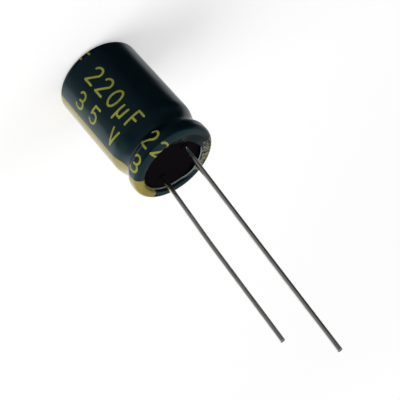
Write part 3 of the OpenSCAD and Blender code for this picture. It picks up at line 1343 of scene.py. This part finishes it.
@dataclass(frozen=True)
class Lamp:
    """A soft lamp that looks at the part and doesn't show in its gloss.

    Attributes:
        name: Its name.
        azimuth: Direction in which it hangs, in degrees.
        height: Angle over the floor, in degrees.
        away: Distance from the part, in metres.
        size: Its side, in metres.
        power: Its power, in watts.
    """

    name: str
    azimuth: float
    height: float
    away: float
    size: float
    power: float

    def build(self) -> None:
        """Hangs the lamp."""
        light = bpy.data.lights.new(self.name, "AREA")
        light.energy = self.power
        light.size = self.size
        turn, rise = math.radians(self.azimuth), math.radians(self.height)
        way = Vector((math.cos(turn) * math.cos(rise), math.sin(turn) * math.cos(rise), math.sin(rise)))
        lamp = bpy.data.objects.new(self.name, light)
        lamp.location = way * self.away
        lamp.rotation_mode = "QUATERNION"
        lamp.rotation_quaternion = way.to_track_quat("Z", "Y")
        lamp.visible_glossy = False
        bpy.context.scene.collection.objects.link(lamp)


@dataclass
class Studio:
    """Floor, light and camera. Sizes are metres.

    What gloss reflects is a white surround behind the can, dark on the side of
    the camera, with the can's own shade under it and a wide soft light above.
    Each layer of that surround has brightnesses by azimuth and blends into the
    next one over a range of the upward share of the direction.
    """

    floor_half: float = 2.0
    floor_albedo: float = 0.8
    floor_lift: Flat = (0.42, 0.68)
    floor_fade: Flat = (0.06, 0.35)
    lamps: tuple[Lamp, ...] = (
        Lamp("left_lamp", 135, 40, 0.4, 0.28, 0.85),
        Lamp("right_lamp", -28, 40, 0.45, 0.25, 0.2),
    )
    ambient: float = 0.4
    peak: float = 1.3
    under: tuple[Flat, ...] = (
        (-180, 0.5), (-150, 0.5), (-110, 0.04), (100, 0.02), (140, 0.45),
    )
    low: tuple[Flat, ...] = (
        (-180, 1.15), (-150, 1.2), (-105, 0.85), (-88, 0.56), (-64, 0.55), (-50, 0.08), (-38, 0.02),
        (10, 0.04), (50, 0.18), (116, 0.24), (143, 0.45), (154, 1.1),
    )
    middle: tuple[Flat, ...] = (
        (-180, 0.6), (-125, 0.1), (-107, 0.1), (-85, 0.42), (-55, 0.37), (-30, 0.08), (0, 0.07),
        (30, 0.12), (70, 0.16), (110, 0.15), (139, 0.55), (160, 0.9),
    )
    high: tuple[Flat, ...] = (
        (-180, 0.6), (-110, 0.6), (-50, 0.68), (20, 0.6), (120, 0.62),
    )
    blends: tuple[Flat, ...] = ((-0.75, -0.55), (-0.25, 0.0), (0.25, 0.75))
    camera_at: Place = (0.035124, 0.076705, 0.061038)
    camera_right: Place = (0.554100, -0.594020, 0.583193)
    camera_up: Place = (0.744228, 0.039614, -0.666750)
    camera_back: Place = (0.372960, 0.803474, 0.464037)
    lens: float = 100.0

    def build(self) -> None:
        """Sets up the whole studio."""
        self._floor()
        self._surround()
        for lamp in self.lamps:
            lamp.build()
        self._camera()
        bpy.context.scene.view_settings.view_transform = "Standard"

    def _floor(self) -> None:
        """Lays the pale floor, which the camera sees as white but for the shadow."""
        half = self.floor_half
        mesh = bpy.data.meshes.new("studio_floor")
        corners = [(-half, -half, 0), (half, -half, 0), (half, half, 0), (-half, half, 0)]
        mesh.from_pydata(corners, [], [(0, 1, 2, 3)])
        finish = bpy.data.materials.new("pale_floor")
        finish.use_nodes = True
        finish.node_tree.nodes.clear()
        sheet = NodeSheet(finish.node_tree)
        matt = sheet.add("ShaderNodeBsdfDiffuse")
        sheet.feed(matt, Color=(*(self.floor_albedo,) * 3, 1.0))
        seen = sheet.add("ShaderNodeLightPath").outputs["Is Camera Ray"]
        place = sheet.add("ShaderNodeTexCoord").outputs["Object"]
        away = sheet.feed(sheet.add("ShaderNodeVectorMath", operation="LENGTH"), Vector=place)
        lift = sheet.spread(away.outputs["Value"], self.floor_fade, self.floor_lift)
        glow = sheet.feed(sheet.add("ShaderNodeEmission"), Strength=sheet.sum("MULTIPLY", seen, lift))
        both = sheet.add("ShaderNodeAddShader")
        for socket, part in zip(both.inputs, (matt, glow)):
            sheet.put(socket, part.outputs[0])
        sheet.feed(sheet.add("ShaderNodeOutputMaterial"), Surface=both.outputs[0])
        mesh.materials.append(finish)
        floor = bpy.data.objects.new("studio_floor", mesh)
        floor.visible_glossy = False
        bpy.context.scene.collection.objects.link(floor)

    def _ramp(self, sheet: NodeSheet, share: bpy.types.NodeSocket,
              stops: Sequence[Flat]) -> bpy.types.NodeSocket:
        """Adds a ramp of brightness round the horizon.

        Args:
            sheet: The world's nodes.
            share: The azimuth as a share of the whole turn.
            stops: Azimuth and brightness of each stop, the first at the back, where the ramp closes.

        Returns:
            The socket with the brightness, divided by the peak.
        """
        ramp = sheet.feed(sheet.add("ShaderNodeValToRGB"), Fac=share)
        parts = ramp.color_ramp.elements
        whole = (*stops, (180.0, stops[0][1]))
        while len(parts) < len(whole):
            parts.new(0.5)
        for part, (azimuth, _) in zip(parts, whole):
            part.position = (azimuth + 180) / 360
        for part, (_, light) in zip(parts, whole):
            part.color = (*(light / self.peak,) * 3, 1.0)
        return ramp.outputs["Color"]

    def _surround(self) -> None:
        """Makes the world: white to the camera, a plain level to matt surfaces, a room to gloss."""
        world = bpy.data.worlds.new("studio_surround")
        world.use_nodes = True
        world.node_tree.nodes.clear()
        sheet = NodeSheet(world.node_tree)
        way = sheet.add("ShaderNodeTexCoord").outputs["Generated"]
        parts = sheet.feed(sheet.add("ShaderNodeSeparateXYZ"), Vector=way).outputs
        angle = sheet.sum("ARCTAN2", parts["Y"], parts["X"])
        share = sheet.sum("ADD", sheet.sum("DIVIDE", angle, 2 * math.pi), 0.5)
        room = self._ramp(sheet, share, self.under)
        for layer, reach in zip((self.low, self.middle, self.high), self.blends):
            rise = sheet.spread(parts["Z"], reach, (0.0, 1.0))
            room = sheet.blend(rise, room, self._ramp(sheet, share, layer))
        bright = sheet.add("ShaderNodeVectorMath", operation="SCALE")
        sheet.feed(bright, Vector=room, Scale=self.peak)
        rays = sheet.add("ShaderNodeLightPath").outputs
        plain = (*(self.ambient,) * 3, 1.0)
        level = sheet.blend(rays["Is Glossy Ray"], plain, bright.outputs[0])
        seen = sheet.blend(rays["Is Camera Ray"], level, (1.0, 1.0, 1.0, 1.0))
        glow = sheet.feed(sheet.add("ShaderNodeBackground"), Color=seen, Strength=1.0)
        sheet.feed(sheet.add("ShaderNodeOutputWorld"), Surface=glow.outputs[0])
        bpy.context.scene.world = world

    def _camera(self) -> None:
        """Sets up the camera at the photograph's viewing angle."""
        data = bpy.data.cameras.new("camera")
        data.lens = self.lens
        data.sensor_width = 36.0
        data.clip_start = 0.001
        data.clip_end = 20.0
        camera = bpy.data.objects.new("camera", data)
        axes = Matrix((self.camera_right, self.camera_up, self.camera_back)).transposed()
        camera.matrix_world = Matrix.Translation(self.camera_at) @ axes.to_4x4()
        bpy.context.scene.collection.objects.link(camera)
        bpy.context.scene.camera = camera


def main() -> None:
    """Builds the sub-assemblies in order and reports each piece."""
    logging.basicConfig(level=logging.INFO, format="%(name)s: %(message)s")
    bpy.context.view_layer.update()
    outline = SkinOutline()
    sleeve = ShrinkSleeve(outline)
    InnerPieces().dress()
    sleeve.build()
    SleevePrint(FilmMap(sleeve)).build()
    DrawnCan(outline).build()
    bung = RubberBung(outline)
    bung.build()
    LeadWire(bung, Pole.POSITIVE, length=23.0, lean=3.8).build()
    LeadWire(bung, Pole.NEGATIVE, length=18.8, lean=4.6, back=1.1, back_at=8.0).build()
    Studio().build()


if __name__ == "__main__":
    main()
